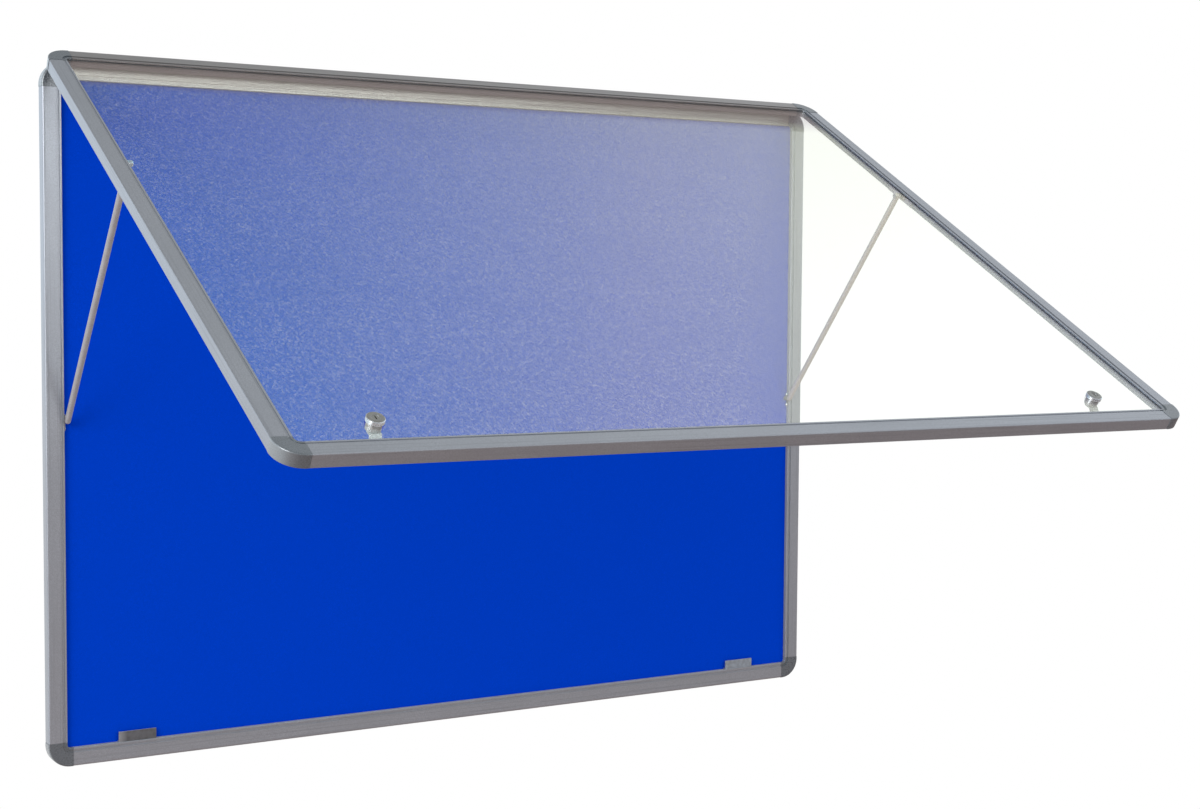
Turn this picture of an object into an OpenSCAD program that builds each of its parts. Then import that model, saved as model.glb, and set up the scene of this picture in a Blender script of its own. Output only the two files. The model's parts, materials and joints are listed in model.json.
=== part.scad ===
// Lockable notice board with a glazed, top-hinged door, shown propped open by its two rods.
// Millimetres. +X runs along the board, +Y into the wall and +Z up.
// The origin is the centre of the wall plane behind the board.

/* [Board] */
// Width of the back frame and of the door
board_w = 1200; // [900:10:1300]
// Height of the back frame and of the door
board_h = 900; // [840:10:1000]
// Depth of the back frame, from the wall to its front face
frame_depth = 15.5; // [15:0.5:18]
// Depth of the door rails, from back face to front face
door_depth = 15.5; // [15.5:0.5:18]
// Gap between the back frame and the shut door
shut_gap = 0.5; // [0.4:0.1:0.8]
// Angle at which the rods prop the door open
open_angle = 60; // [52:1:64]

/* [Frame rails] */
// Width of a frame rail's face, from outer edge to lip
frame_face = 24; // [23.5:0.5:27]
// Rounding of the frame's front outer edge
frame_edge_r = 2.6; // [1:0.2:3]
// Wall thickness of all extruded rails
rail_wall = 1.5; // [1.2:0.1:1.6]
// Thickness of the lip that bears on the felt
lip_wall = 2; // [1.5:0.1:2.4]
// Rounding of the lip's front edge
lip_edge_r = 0.6; // [0.2:0.1:1]
// Distance of the frame's face groove from the outer edge
frame_groove_in = 18; // [15:0.5:18.5]
// Width of the frame's face groove
frame_groove_w = 3.3; // [2:0.1:3.6]
// Depth of the frame's face groove
frame_groove_deep = 1.5; // [0.8:0.1:1.8]
// Depth of the recess between the frame's front face and the felt
recess_deep = 6; // [5.6:0.2:7]
// Width of the hollow chamber along the frame's outer side
frame_chamber_w = 7; // [5:0.5:8]

/* [Door rails] */
// Width of a door rail's face, from outer edge to lip
door_face = 22.4; // [21.8:0.2:25]
// Rounding of the door's front outer edge
door_edge_r = 1.9; // [1:0.1:3]
// Distance of the door rail's inner wall from the outer edge
door_inner = 20; // [19.4:0.2:21]
// Distance of the door's face groove from the outer edge
door_groove_in = 17; // [14:0.5:17.2]
// Width of the door's face groove
door_groove_w = 3; // [2:0.1:3.2]
// Depth of the door's face groove
door_groove_deep = 1.2; // [0.6:0.1:1.4]
// Step of the door's lip below its face
door_lip_drop = 0.5; // [0.2:0.1:0.8]
// Height of the glazing ledge above the door's back face
ledge_h = 8.5; // [8.3:0.1:9]
// Distance of the glazing channel's floor from the outer edge
channel_in = 11; // [10:0.5:13]
// Width and depth of the fine lines along the inner wall
wall_line = 0.4; // [0.2:0.1:0.6]

/* [Corner pieces] */
// Centre-line radius that all corner curves turn about, measured to the rails' outer edge
corner_r = 28.5; // [28:0.5:30]
// Length of a frame corner piece along each side
frame_corner_leg = 31.5; // [31:0.5:40]
// Length of a door corner piece along each side
door_corner_leg = 30.7; // [30.5:0.1:40]
// Amount by which corner pieces stand proud of the rails
corner_proud = 0.4; // [0.1:0.1:0.6]
// Length of the spigots that plug into the rails
spigot_l = 40; // [20:5:45]
// Clearance round each spigot
spigot_fit = 0.15; // [0.1:0.05:0.3]

/* [Pinboard] */
// Thickness of the felt facing
felt_t = 1; // [0.5:0.1:1.5]
// Thickness of the back sheet
sheet_t = 0.8; // [0.5:0.1:1.2]
// Clearance between the panel's edge and the rails
panel_gap = 0.3; // [0.1:0.1:1]

/* [Glazing] */
// Thickness of the glazing sheet
glazing_t = 4; // [3:0.2:4.2]
// Thickness of the gasket on each face of the sheet
gasket_t = 0.4; // [0.2:0.1:0.5]
// Thickness of the gasket round the sheet's edge
gasket_edge = 1; // [0.6:0.1:2]
// Amount of the gasket's legs that shows beyond the inner wall
gasket_show = 1.2; // [0.2:0.1:1.6]

/* [Hinge] */
// Radius of the hinge knuckles
knuckle_r = 2.8; // [2.4:0.1:2.8]
// Radius of the hinge pin
hinge_pin_r = 1.2; // [0.8:0.1:1.5]
// Thickness of the hinge leaves
leaf_t = 1; // [0.8:0.1:1.2]
// Distance of a leaf's outer edge from the hinge axis
leaf_w = 12.5; // [11:0.5:12.8]
// Number of knuckles along the hinge
knuckles = 23; // [11:2:31]
// Gap between neighbouring knuckles
knuckle_gap = 0.3; // [0.2:0.1:0.6]
// Distance of the hinge's ends from the corner pieces
hinge_inset = 3.5; // [1:0.5:20]
// Clearance of the cove that the rails have round the knuckles
cove_fit = 0.3; // [0.2:0.1:0.4]
// Number of screws in each leaf
leaf_screws = 8; // [4:2:10]
// Distance of the leaf screws from the hinge axis
leaf_screw_out = 8; // [7:0.5:9]

/* [Stays] */
// Radius of a stay rod
stay_r = 4; // [3:0.2:4.2]
// Length of a stay rod from pivot to hook
stay_l = 400; // [370:5:420]
// Distance of the stay's pivot from the hinge axis, along the door
stay_drop = 295; // [280:1:300]
// Clearance between a folded rod and the frame's front face
stay_clear = 0.6; // [0.6:0.1:0.8]
// Clearance between a rod and its bracket
stay_gap = 1.6; // [1.4:0.1:2.5]
// Radius of the pivot pin
stay_pin_r = 2; // [1.5:0.1:2.2]
// Radius of the hook pin at the rod's foot
hook_r = 1.7; // [1.2:0.1:1.8]
// Depth to which the hook pin reaches behind the frame's front face
hook_reach = 4; // [2.5:0.1:4.5]
// Length of a stay bracket
bracket_l = 58; // [50:1:80]
// Distance of the bracket screws from the bracket's ends
bracket_screw_end = 7; // [4:0.5:10]
// Thickness of a stay bracket
bracket_t = 1.2; // [1:0.1:1.5]
// Height of a stay bracket, across the rail
bracket_w = 8; // [7.6:0.1:8]
// Radius of the pivot pin's head
stay_head_r = 3.5; // [2.5:0.1:3.6]
// Thickness of the pivot pin's head
stay_head_t = 1.2; // [0.8:0.1:2]
// Height of a stay catch
catch_h = 20; // [18:0.5:30]
// Distance of a stay catch's lower end below the hook pin
catch_below = 12.5; // [8:0.5:13]
// Thickness of a stay catch's plate
catch_t = 1; // [0.8:0.1:1.1]
// Wall of the eyelet round the hook pin
eyelet_wall = 1.5; // [1:0.1:2]
// Clearance between the hook pin and its eyelet
hook_fit = 0.3; // [0.2:0.1:0.5]

/* [Locks] */
// Distance of the lock axes from the sides
lock_in = 116; // [80:1:200]
// Distance of the lock axes from the bottom edge
lock_up = 55; // [54:0.5:58]
// Radius of the lock's head
lock_head_r = 10; // [8.5:0.5:12]
// Height of the lock's head in front of the glazing
lock_head_t = 4.5; // [2:0.5:6]
// Chamfer of the lock's head
lock_chamfer = 0.6; // [0.2:0.1:1]
// Radius of the lock's barrel
barrel_r = 6.4; // [6:0.2:7.6]
// Clearance between the barrel and its hole in the glazing
barrel_fit = 0.2; // [0.1:0.1:0.5]
// Radius of the key plug
plug_r = 4.5; // [4:0.1:5]
// Radius of the plug's tang that carries the cam
tang_r = 3; // [2.4:0.1:3.4]
// Width of the keyway
keyway_w = 1.4; // [0.8:0.1:2]
// Height of the keyway
keyway_h = 6.4; // [4:0.2:7]
// Depth of the keyway
keyway_deep = 5; // [2:0.5:8]
// Radius of the round lock nut
lock_nut_r = 8.2; // [8.2:0.1:10]
// Width of the cam
cam_w = 13; // [12:0.5:17]
// Thickness of the cam
cam_t = 2; // [1.5:0.1:2.2]
// Reach of the cam from the lock axis to its tip
cam_reach = 28.5; // [26:0.5:28.5]
// Offset of the cam's tip towards the wall from its root
cam_crank = 3.4; // [3.2:0.1:3.6]
// Radius of the cam screw's head
cam_head_r = 3.5; // [3:0.1:4]
// Height of the cam screw's head
cam_head_t = 2.4; // [1.5:0.1:3]

/* [Keep plates] */
// Width of a keep plate
keep_w = 50; // [44:1:80]
// Height of a keep plate above the bottom lip
keep_h = 13.5; // [11:0.5:13.5]
// Thickness of a keep plate
keep_t = 1.5; // [1:0.1:1.6]
// Spacing of a keep plate's two screws
keep_pitch = 36; // [30:1:70]

/* [Hanging plates] */
// Gap between a hanging plate and the side rail beside it
hang_side_gap = 19; // [2:1:60]
// Gap between an upper hanging plate and the top rail
hang_end_gap = 2; // [1:0.5:40]
// Width of a hanging plate
hang_w = 24; // [20:1:30]
// Height of a hanging plate
hang_h = 48; // [44:1:60]
// Distance of the plate's screws from its ends
hang_screw_end = 4.2; // [3:0.2:5]
// Radius of the keyhole's round entry
key_entry_r = 4.5; // [4:0.1:5]
// Radius of the keyhole's slot
key_slot_r = 2.2; // [1.5:0.1:2.4]
// Rise of the keyhole's slot above its entry
key_rise = 10; // [8:0.5:12]
// Depth of the pocket behind the keyhole
pocket_deep = 5; // [3:0.5:6]

/* [Small screws] */
// Radius of the plate screws' shanks
screw_r = 1.5; // [1:0.1:1.5]
// Radius of the plate screws' heads
screw_head_r = 2.8; // [2:0.1:2.8]
// Height of the plate screws' heads
screw_head_t = 0.8; // [0.5:0.1:0.9]
// Length of the plate screws' shanks
screw_l = 5; // [4:0.5:6]
// Radius of the lip screws' shanks
lip_screw_r = 1; // [0.6:0.1:1]
// Radius of the lip screws' heads
lip_head_r = 1.7; // [1.2:0.1:1.7]
// Height of the lip screws' heads
lip_head_t = 0.6; // [0.4:0.1:0.7]
// Length of the lip screws' shanks
lip_screw_l = 4; // [3:0.5:4]
// Distance of the catch screws from the ends of their plate
catch_screw_end = 2; // [1.8:0.1:3]

/* [Hidden] */
$fn = 48;

// Overrun of all cutting shapes
over = felt_t;
// Running clearance of the pins and plugs in their bores
run_fit = spigot_fit / 3;
// Gap between parts that pass each other on a shaft
pass_gap = 2 * spigot_fit;

// Sides of the board, numbered anticlockwise from the bottom as seen from the front
BOTTOM = 0;
RIGHT = 1;
TOP = 2;
LEFT = 3;
HANDS = [-1, 1];

// Frame section, measured inwards from the outer edge and forwards from the wall
slot_in = 2 * rail_wall + frame_chamber_w;
felt_v = frame_depth - recess_deep;
panel_edge = slot_in + panel_gap;
core_t = felt_v - rail_wall - sheet_t - felt_t;
felt_back = rail_wall + sheet_t + core_t;

// Places of the wall screws on either side of the board's centre
hang_x = board_w / 2 - frame_face - hang_side_gap - hang_w / 2;
hang_z = board_h / 2 - frame_face - hang_end_gap - (hang_h + key_rise) / 2;

// Door section, measured inwards from the outer edge and forwards from the door's back face
channel_h = glazing_t + 2 * gasket_t;
channel_top = ledge_h + channel_h;
glazing_d = ledge_h + gasket_t;
glazing_front = glazing_d + glazing_t;
glazing_edge = channel_in + gasket_edge;

// Hinge axis, halfway across the gap at the top edge
hinge_y = -(frame_depth + shut_gap / 2);
hinge_z = board_h / 2;
door_back_y = -(frame_depth + shut_gap);
hinge_l = board_w - 2 * (frame_corner_leg + hinge_inset);
cove_r = knuckle_r + cove_fit;
cove_wall_r = cove_r + rail_wall;
knuckle_pitch = hinge_l / knuckles;

// Stay: pivot on the door, foot in front of the frame
stay_x = board_w / 2 - door_inner - bracket_t - stay_gap - stay_r;
pivot_d = stay_r + stay_clear - shut_gap;
pivot_out = pivot_d + shut_gap / 2;
pivot_y = hinge_y - pivot_out * cos(open_angle) - stay_drop * sin(open_angle);
pivot_z = hinge_z + pivot_out * sin(open_angle) - stay_drop * cos(open_angle);
foot_y = -(frame_depth + stay_clear + stay_r);
stay_lean = asin((foot_y - pivot_y) / stay_l);
foot_z = pivot_z - stay_l * cos(stay_lean);
lip_x = board_w / 2 - frame_face;
eyelet_r = hook_r + hook_fit + eyelet_wall;
catch_w = recess_deep - 2 * panel_gap;
catch_z = foot_z - catch_below;
lip_screw_v = felt_v + lip_head_r + 2 * run_fit;

// Locks and keeps
lock_x = board_w / 2 - lock_in;
lock_z = -board_h / 2 + lock_up;
nut_back = cam_t / 2 + pass_gap;
lip_z = -board_h / 2 + frame_face;

// Sections of the rails, drawn with x inwards from the outer edge and y forwards
module edge_cut(r) {
    // Corner outside a quarter round whose outer corner is at the origin, towards +x and -y
    difference() {
        translate([-over, -r])
            square([r + over, r + over]);
        translate([r, -r])
            circle(r);
    }
}

module frame_outline(proud = 0) {
    difference() {
        translate([-proud, 0])
            square([frame_face + proud, frame_depth]);
        translate([-proud, frame_depth])
            edge_cut(frame_edge_r);
        translate([frame_face, frame_depth])
            mirror([1, 0])
                edge_cut(lip_edge_r);
        translate([frame_groove_in, frame_depth - frame_groove_deep])
            square([frame_groove_w, frame_groove_deep + over]);
    }
}

module frame_section() {
    groove_floor = frame_depth - frame_groove_deep;
    difference() {
        frame_outline();
        // Chamber for the corner spigots
        difference() {
            translate([rail_wall, rail_wall])
                square([frame_chamber_w, frame_depth - 2 * rail_wall]);
            translate([0, frame_depth + shut_gap / 2])
                circle(cove_wall_r);
        }
        // Slot for the panel
        translate([slot_in, rail_wall])
            square([frame_face, felt_v - rail_wall]);
        // Hollow behind the face and the groove
        translate([slot_in, rail_wall])
            square([frame_face - lip_wall - slot_in, groove_floor - 2 * rail_wall]);
        translate([slot_in, rail_wall])
            square([frame_groove_in - rail_wall - slot_in, frame_depth - 2 * rail_wall]);
    }
}

module door_outline(proud = 0) {
    difference() {
        union() {
            translate([-proud, 0])
                square([door_inner + proud, door_depth + proud]);
            translate([door_inner - over, channel_top])
                square([door_face - door_inner + over, door_depth - door_lip_drop - channel_top]);
        }
        translate([-proud, door_depth + proud])
            edge_cut(door_edge_r);
        translate([door_groove_in, door_depth - door_groove_deep])
            square([door_groove_w, door_groove_deep + proud + over]);
        // Fine lines along the inner wall
        for (share = [0.25, 0.5, 0.75])
            translate([door_inner - wall_line / 2, ledge_h * share])
                square([wall_line / 2 + over, wall_line]);
    }
}

module door_section() {
    back_h = ledge_h - 2 * rail_wall;
    difference() {
        door_outline();
        // Back chamber for the corner spigots
        difference() {
            translate([rail_wall, rail_wall])
                square([door_inner - 2 * rail_wall, back_h]);
            translate([0, -shut_gap / 2])
                circle(cove_wall_r);
        }
        // Front chamber beside the glazing channel
        translate([rail_wall, ledge_h])
            square([channel_in - 2 * rail_wall, door_depth - ledge_h - rail_wall]);
        // Glazing channel
        translate([channel_in, ledge_h])
            square([door_face, channel_h]);
    }
}

// Straight rail of a section, centred along one side of the board
module on_side(side) {
    across = (side % 2 == 0) ? board_h : board_w;
    rotate([0, -90 * side, 0])
        translate([0, 0, -across / 2])
            rotate([180, -90, 0])
                children();
}

module rail(side, leg) {
    along = (side % 2 == 0) ? board_w : board_h;
    on_side(side)
        linear_extrude(height = along - 2 * leg, center = true)
            children();
}

// Corner number 0 is the bottom left one, and the others follow anticlockwise
module at_corner(corner) {
    right = (corner == 1 || corner == 2) ? 1 : -1;
    up = (corner == 2 || corner == 3) ? 1 : -1;
    translate([right * board_w / 2, 0, up * board_h / 2])
        rotate([0, -90 * corner, 0])
            rotate([90, 0, 0])
                children();
}

// Section swept round the corner, with a straight leg at each end
module corner_sweep(leg) {
    translate([corner_r, corner_r, 0])
        rotate([0, 0, 180])
            rotate_extrude(angle = 90)
                translate([corner_r, 0])
                    mirror([1, 0])
                        children();
    translate([corner_r, 0, 0])
        rotate([90, 0, 90])
            linear_extrude(height = leg - corner_r)
                children();
    translate([0, leg, 0])
        rotate([90, 0, 0])
            linear_extrude(height = leg - corner_r)
                children();
}

// Spigots that plug into a rail chamber, on both legs, clear of the wall round the hinge cove
module spigots(leg, chamber_w, chamber_h, hinge_v) {
    low = rail_wall + spigot_fit;
    for (turned = [0, 1])
        mirror([turned, -turned, 0])
            difference() {
                translate([leg - rail_wall, low, low])
                    cube([spigot_l + rail_wall, chamber_w - 2 * spigot_fit, chamber_h - 2 * spigot_fit]);
                translate([leg, 0, hinge_v])
                    rotate([0, 90, 0])
                        cylinder(r = cove_wall_r + spigot_fit, h = spigot_l + over);
            }
}

module frame_corner(corner) {
    color([0.42, 0.43, 0.45])
        at_corner(corner) {
            difference() {
                corner_sweep(frame_corner_leg)
                    frame_outline(corner_proud);
                translate([slot_in, slot_in, rail_wall])
                    cube([board_w, board_w, felt_v - rail_wall]);
            }
            spigots(frame_corner_leg, frame_chamber_w, frame_depth - 2 * rail_wall,
                frame_depth + shut_gap / 2);
        }
}

module door_corner(corner) {
    color([0.42, 0.43, 0.45])
        in_door()
            at_corner(corner) {
                difference() {
                    corner_sweep(door_corner_leg)
                        door_outline(corner_proud);
                    translate([channel_in, channel_in, ledge_h])
                        cube([board_w, board_w, channel_h]);
                }
                spigots(door_corner_leg, door_inner - 2 * rail_wall, ledge_h - 2 * rail_wall,
                    -shut_gap / 2);
            }
}

// Door frame of reference: origin on the door's back face, turned open about the hinge
module in_door() {
    translate([0, hinge_y, hinge_z])
        rotate([-open_angle, 0, 0])
            translate([0, door_back_y - hinge_y, -hinge_z])
                children();
}

// Right-hand part, or its mirror image on the left
module on_hand(hand) {
    if (hand > 0)
        children();
    else
        mirror([1, 0, 0])
            children();
}

// Sheet of a given inset from the board's edges, between two distances in front of a plane
module sheet(inset, low, high) {
    translate([inset - board_w / 2, -high, inset - board_h / 2])
        cube([board_w - 2 * inset, high - low, board_h - 2 * inset]);
}

// Small screw along +z with the underside of its head at the origin
module screw(r, l, head_r, head_t) {
    translate([0, 0, -l])
        cylinder(r = r, h = l);
    cylinder(r = head_r, h = head_t);
}

// Hinge, drawn with its axis on the x axis
module hinge_axis_rod(r, l) {
    rotate([0, 90, 0])
        cylinder(r = r, h = l, center = true);
}

module leaf_screw_places(hand) {
    for (i = [0 : leaf_screws - 1])
        translate([(i + 0.5) * hinge_l / leaf_screws - hinge_l / 2, hand * leaf_screw_out, leaf_t])
            children();
}

module leaf_screw_shanks(hand) {
    leaf_screw_places(hand)
        translate([0, 0, -screw_l])
            cylinder(r = screw_r, h = screw_l + over);
}

module hinge_leaf(hand) {
    knuckle_l = knuckle_pitch - knuckle_gap;
    difference() {
        union() {
            on_y_hand(hand)
                translate([-hinge_l / 2, cove_r, 0])
                    cube([hinge_l, leaf_w - cove_r, leaf_t]);
            for (i = [(hand > 0 ? 0 : 1) : 2 : knuckles - 1])
                translate([(i + 0.5) * knuckle_pitch - hinge_l / 2, 0, 0]) {
                    hinge_axis_rod(knuckle_r, knuckle_l);
                    on_y_hand(hand)
                        translate([-knuckle_l / 2, 0, 0])
                            cube([knuckle_l, cove_r + leaf_t, leaf_t]);
                }
        }
        hinge_axis_rod(hinge_pin_r + run_fit, hinge_l + 2 * over);
        leaf_screw_shanks(hand);
    }
}

module on_y_hand(hand) {
    if (hand > 0)
        children();
    else
        mirror([0, 1, 0])
            children();
}

module at_hinge() {
    translate([0, hinge_y, hinge_z])
        children();
}

module at_open_hinge() {
    at_hinge()
        rotate([-open_angle, 0, 0])
            children();
}

module hinge_leaf_frame() {
    color([0.70, 0.71, 0.73])
        at_hinge()
            hinge_leaf(1);
}

module hinge_leaf_door() {
    color([0.70, 0.71, 0.73])
        at_open_hinge()
            hinge_leaf(-1);
}

module hinge_pin() {
    color([0.80, 0.80, 0.80])
        at_hinge()
            hinge_axis_rod(hinge_pin_r, hinge_l);
}

module hinge_screws(hand) {
    color([0.75, 0.75, 0.75])
        leaf_screw_places(hand)
            screw(screw_r, screw_l, screw_head_r, screw_head_t);
}

module hinge_screws_frame() {
    at_hinge()
        hinge_screws(1);
}

module hinge_screws_door() {
    at_open_hinge()
        hinge_screws(-1);
}

// Back frame
module frame_rail(side) {
    color([0.62, 0.64, 0.67])
        rail(side, frame_corner_leg)
            frame_section();
}

module frame_rail_top() {
    difference() {
        frame_rail(TOP);
        at_hinge() {
            hinge_axis_rod(cove_r, board_w);
            leaf_screw_shanks(1);
        }
    }
}

module frame_rail_bottom() {
    difference() {
        frame_rail(BOTTOM);
        for (hand = HANDS)
            keep_screw_places(hand)
                translate([0, 0, -lip_screw_l])
                    cylinder(r = lip_screw_r, h = lip_screw_l);
    }
}

module frame_rail_side(side, hand) {
    difference() {
        frame_rail(side);
        catch_screw_places(hand)
            translate([0, 0, -lip_screw_l])
                cylinder(r = lip_screw_r, h = lip_screw_l);
    }
}

module frame_rail_left() {
    frame_rail_side(LEFT, -1);
}

module frame_rail_right() {
    frame_rail_side(RIGHT, 1);
}

module frame_corner_bottom_left() {
    frame_corner(0);
}

module frame_corner_bottom_right() {
    frame_corner(1);
}

module frame_corner_top_right() {
    frame_corner(2);
}

module frame_corner_top_left() {
    frame_corner(3);
}

// Pinboard
module fabric_facing() {
    color([0.02, 0.22, 0.72])
        sheet(panel_edge, felt_back, felt_v);
}

module pinboard_core() {
    color([0.72, 0.60, 0.42])
        difference() {
            sheet(panel_edge, rail_wall + sheet_t, felt_back);
            hanging_pockets();
            hanging_screw_shanks();
        }
}

module back_sheet() {
    color([0.80, 0.80, 0.78])
        difference() {
            sheet(panel_edge, rail_wall, rail_wall + sheet_t);
            hanging_pockets();
            hanging_screw_shanks();
        }
}

// Hanging plates, drawn with z towards the wall and y up
module hang_places() {
    for (right = HANDS)
        for (up = HANDS)
            translate([right * hang_x, 0, up * hang_z])
                rotate([90, 0, 180])
                    children();
}

module keyhole(entry_r, slot_r, low, high) {
    translate([0, 0, low]) {
        cylinder(r = entry_r, h = high - low);
        translate([-slot_r, 0, 0])
            cube([2 * slot_r, key_rise, high - low]);
        translate([0, key_rise, 0])
            cylinder(r = slot_r, h = high - low);
    }
}

module hanging_pockets() {
    pocket_r = key_entry_r + run_fit;
    hang_places()
        translate([-pocket_r, -pocket_r, -rail_wall - pocket_deep])
            cube([2 * pocket_r, key_rise + 2 * pocket_r, pocket_deep + rail_wall + over]);
}

module hang_screw_places() {
    hang_places()
        for (end = HANDS)
            translate([0, key_rise / 2 + end * (hang_h / 2 - hang_screw_end), -screw_head_t])
                children();
}

module hanging_screw_shanks() {
    hang_screw_places()
        translate([0, 0, -screw_l])
            cylinder(r = screw_r, h = screw_l);
}

module hanging_plates() {
    color([0.66, 0.66, 0.64])
        difference() {
            hang_places()
                difference() {
                    translate([-hang_w / 2, (key_rise - hang_h) / 2, -rail_wall])
                        cube([hang_w, hang_h, rail_wall]);
                    keyhole(key_entry_r, key_slot_r, -rail_wall - over, over);
                }
            hang_screw_places()
                screw(screw_r, screw_l, screw_head_r, screw_head_t + over);
        }
}

module hanging_screws() {
    color([0.75, 0.75, 0.75])
        hang_screw_places()
            screw(screw_r, screw_l, screw_head_r, screw_head_t);
}

// Keep plates, on the inner face of the bottom lip
module keep_screw_places(hand) {
    for (end = HANDS)
        translate([hand * lock_x + end * keep_pitch / 2, -lip_screw_v, lip_z + keep_t])
            children();
}

module keep_plate(hand) {
    color([0.50, 0.51, 0.53])
        difference() {
            translate([hand * lock_x - keep_w / 2, -frame_depth, lip_z]) {
                cube([keep_w, keep_t, keep_h]);
                cube([keep_w, catch_w, keep_t]);
            }
            keep_screw_places(hand)
                screw(lip_screw_r, lip_screw_l, lip_head_r, over);
        }
}

module keep_plate_left() {
    keep_plate(-1);
}

module keep_plate_right() {
    keep_plate(1);
}

module keep_screws() {
    color([0.75, 0.75, 0.75])
        for (hand = HANDS)
            keep_screw_places(hand)
                screw(lip_screw_r, lip_screw_l, lip_head_r, lip_head_t);
}

// Stay catches, on the inner faces of the side lips
module catch_screw_places(hand) {
    on_hand(hand)
        for (z = [catch_z + catch_screw_end, catch_z + catch_h - catch_screw_end])
            translate([lip_x - catch_t + lip_head_t, -lip_screw_v, z])
                rotate([0, -90, 0])
                    children();
}

module stay_catch(hand) {
    back_y = -felt_v - panel_gap;
    color([0.60, 0.61, 0.63])
        difference() {
            on_hand(hand)
                difference() {
                    union() {
                        translate([lip_x - catch_t, back_y - catch_w, catch_z])
                            cube([catch_t, catch_w, catch_h]);
                        translate([stay_x, back_y - catch_w, foot_z - eyelet_r])
                            cube([lip_x - stay_x, catch_w, 2 * eyelet_r]);
                        translate([stay_x, back_y, foot_z])
                            rotate([90, 0, 0])
                                cylinder(r = eyelet_r, h = catch_w);
                    }
                    translate([stay_x, 0, foot_z])
                        rotate([90, 0, 0])
                            cylinder(r = hook_r + hook_fit, h = frame_depth + over);
                    translate([lip_x, -frame_depth, catch_z])
                        cube([eyelet_r, frame_depth, catch_h]);
                }
            catch_screw_places(hand)
                screw(lip_screw_r, lip_screw_l, lip_head_r, over);
        }
}

module stay_catch_left() {
    stay_catch(-1);
}

module stay_catch_right() {
    stay_catch(1);
}

module catch_screws() {
    color([0.75, 0.75, 0.75])
        for (hand = HANDS)
            catch_screw_places(hand)
                screw(lip_screw_r, lip_screw_l, lip_head_r, lip_head_t);
}

// Door
module door_rail(side) {
    color([0.66, 0.68, 0.70])
        rail(side, door_corner_leg)
            door_section();
}

module door_rail_top() {
    difference() {
        in_door()
            door_rail(TOP);
        at_open_hinge() {
            hinge_axis_rod(cove_r, board_w);
            leaf_screw_shanks(-1);
        }
    }
}

module door_rail_bottom() {
    in_door()
        door_rail(BOTTOM);
}

module door_rail_side(side, hand) {
    in_door()
        difference() {
            door_rail(side);
            bracket_screw_places(hand)
                translate([0, 0, -screw_l])
                    cylinder(r = screw_r, h = screw_l);
        }
}

module door_rail_left() {
    door_rail_side(LEFT, -1);
}

module door_rail_right() {
    door_rail_side(RIGHT, 1);
}

module door_corner_bottom_left() {
    door_corner(0);
}

module door_corner_bottom_right() {
    door_corner(1);
}

module door_corner_top_right() {
    door_corner(2);
}

module door_corner_top_left() {
    door_corner(3);
}

module glazing_sheet() {
    color([0.85, 0.92, 0.95, 0.35])
        in_door()
            difference() {
                sheet(glazing_edge, glazing_d, glazing_front);
                for (hand = HANDS)
                    lock_place(hand)
                        cylinder(r = barrel_r + barrel_fit, h = door_depth);
            }
}

module glazing_gasket() {
    color([0.15, 0.15, 0.16])
        in_door()
            difference() {
                sheet(channel_in, ledge_h, channel_top);
                sheet(door_inner + gasket_show, ledge_h - over, channel_top + over);
                sheet(glazing_edge, glazing_d, glazing_front);
            }
}

// Stay brackets, on the inner walls of the door's side rails
module at_pivot(hand) {
    on_hand(hand)
        translate([board_w / 2 - door_inner, -pivot_d, hinge_z - stay_drop])
            rotate([0, -90, 0])
                children();
}

module bracket_screw_places(hand) {
    at_pivot(hand)
        for (end = HANDS)
            translate([end * (bracket_l / 2 - bracket_screw_end), 0, bracket_t - screw_head_t])
                children();
}

module stay_bracket(hand) {
    color([0.60, 0.61, 0.63])
        in_door()
            difference() {
                at_pivot(hand)
                    translate([-bracket_l / 2, -bracket_w / 2, 0])
                        cube([bracket_l, bracket_w, bracket_t]);
                at_pivot(hand)
                    translate([0, 0, -over])
                        cylinder(r = stay_pin_r, h = bracket_t + 2 * over);
                bracket_screw_places(hand)
                    screw(screw_r, screw_l, screw_head_r, over);
            }
}

module stay_bracket_left() {
    stay_bracket(-1);
}

module stay_bracket_right() {
    stay_bracket(1);
}

module stay_pivot(hand) {
    head_z = bracket_t + stay_gap + 2 * stay_r + pass_gap;
    color([0.85, 0.85, 0.86])
        in_door()
            at_pivot(hand) {
                cylinder(r = stay_pin_r, h = head_z);
                translate([0, 0, head_z])
                    cylinder(r = stay_head_r, h = stay_head_t);
            }
}

module stay_pivot_left() {
    stay_pivot(-1);
}

module stay_pivot_right() {
    stay_pivot(1);
}

module bracket_screws() {
    color([0.75, 0.75, 0.75])
        in_door()
            for (hand = HANDS)
                bracket_screw_places(hand)
                    screw(screw_r, screw_l, screw_head_r, screw_head_t);
}

// Stay rods, with an eye on the pivot and a hook pin in the catch
module stay_rod(hand) {
    color([0.72, 0.73, 0.75])
        on_hand(hand)
            difference() {
                union() {
                    translate([stay_x, pivot_y, pivot_z]) {
                        rotate([0, 90, 0])
                            cylinder(r = stay_r, h = 2 * stay_r, center = true);
                        rotate([180 + stay_lean, 0, 0])
                            cylinder(r = stay_r, h = stay_l);
                    }
                    translate([stay_x, foot_y, foot_z]) {
                        sphere(r = stay_r);
                        rotate([-90, 0, 0])
                            cylinder(r = hook_r, h = hook_reach + stay_clear + stay_r);
                    }
                }
                translate([stay_x, pivot_y, pivot_z])
                    rotate([0, 90, 0])
                        cylinder(r = stay_pin_r + run_fit, h = 2 * stay_r + 2 * over, center = true);
            }
}

module stay_rod_left() {
    stay_rod(-1);
}

module stay_rod_right() {
    stay_rod(1);
}

// Locks, drawn with z outwards from the door's back face and y up the door
module lock_place(hand) {
    translate([hand * lock_x, 0, lock_z])
        rotate([90, 0, 0])
            children();
}

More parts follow.
